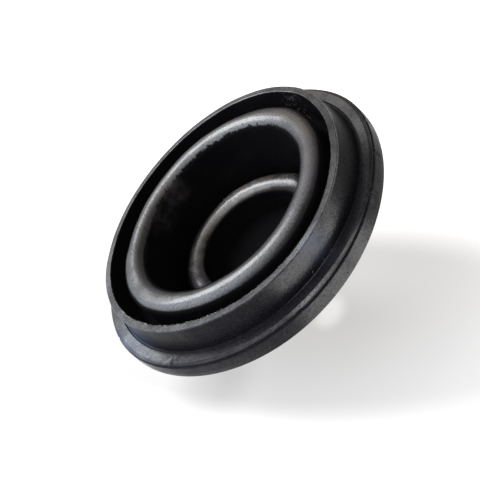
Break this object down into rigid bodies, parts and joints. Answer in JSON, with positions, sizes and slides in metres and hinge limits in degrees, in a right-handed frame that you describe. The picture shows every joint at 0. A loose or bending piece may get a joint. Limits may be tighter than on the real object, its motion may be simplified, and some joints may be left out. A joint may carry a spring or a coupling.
{
  "type": "gear shift dust boot",
  "caption": "Round black rubber dust boot for a gear lever: a flange with a thin raised collar, concentric bellows folds inside it, and a small neck that grips the lever.",
  "frame": {"origin": "centre of the neck's end face, on the boot's axis, where it stands on a bench", "axes": "+Z along the boot's axis, from the neck's end towards the wide opening"},
  "size_m": [0.1, 0.1, 0.045],
  "materials": {
    "rubber": "satin moulded black rubber, slightly dusty"
  },
  "bodies": {
    "root": {"boot": "rubber"}
  },
  "joints": []
}
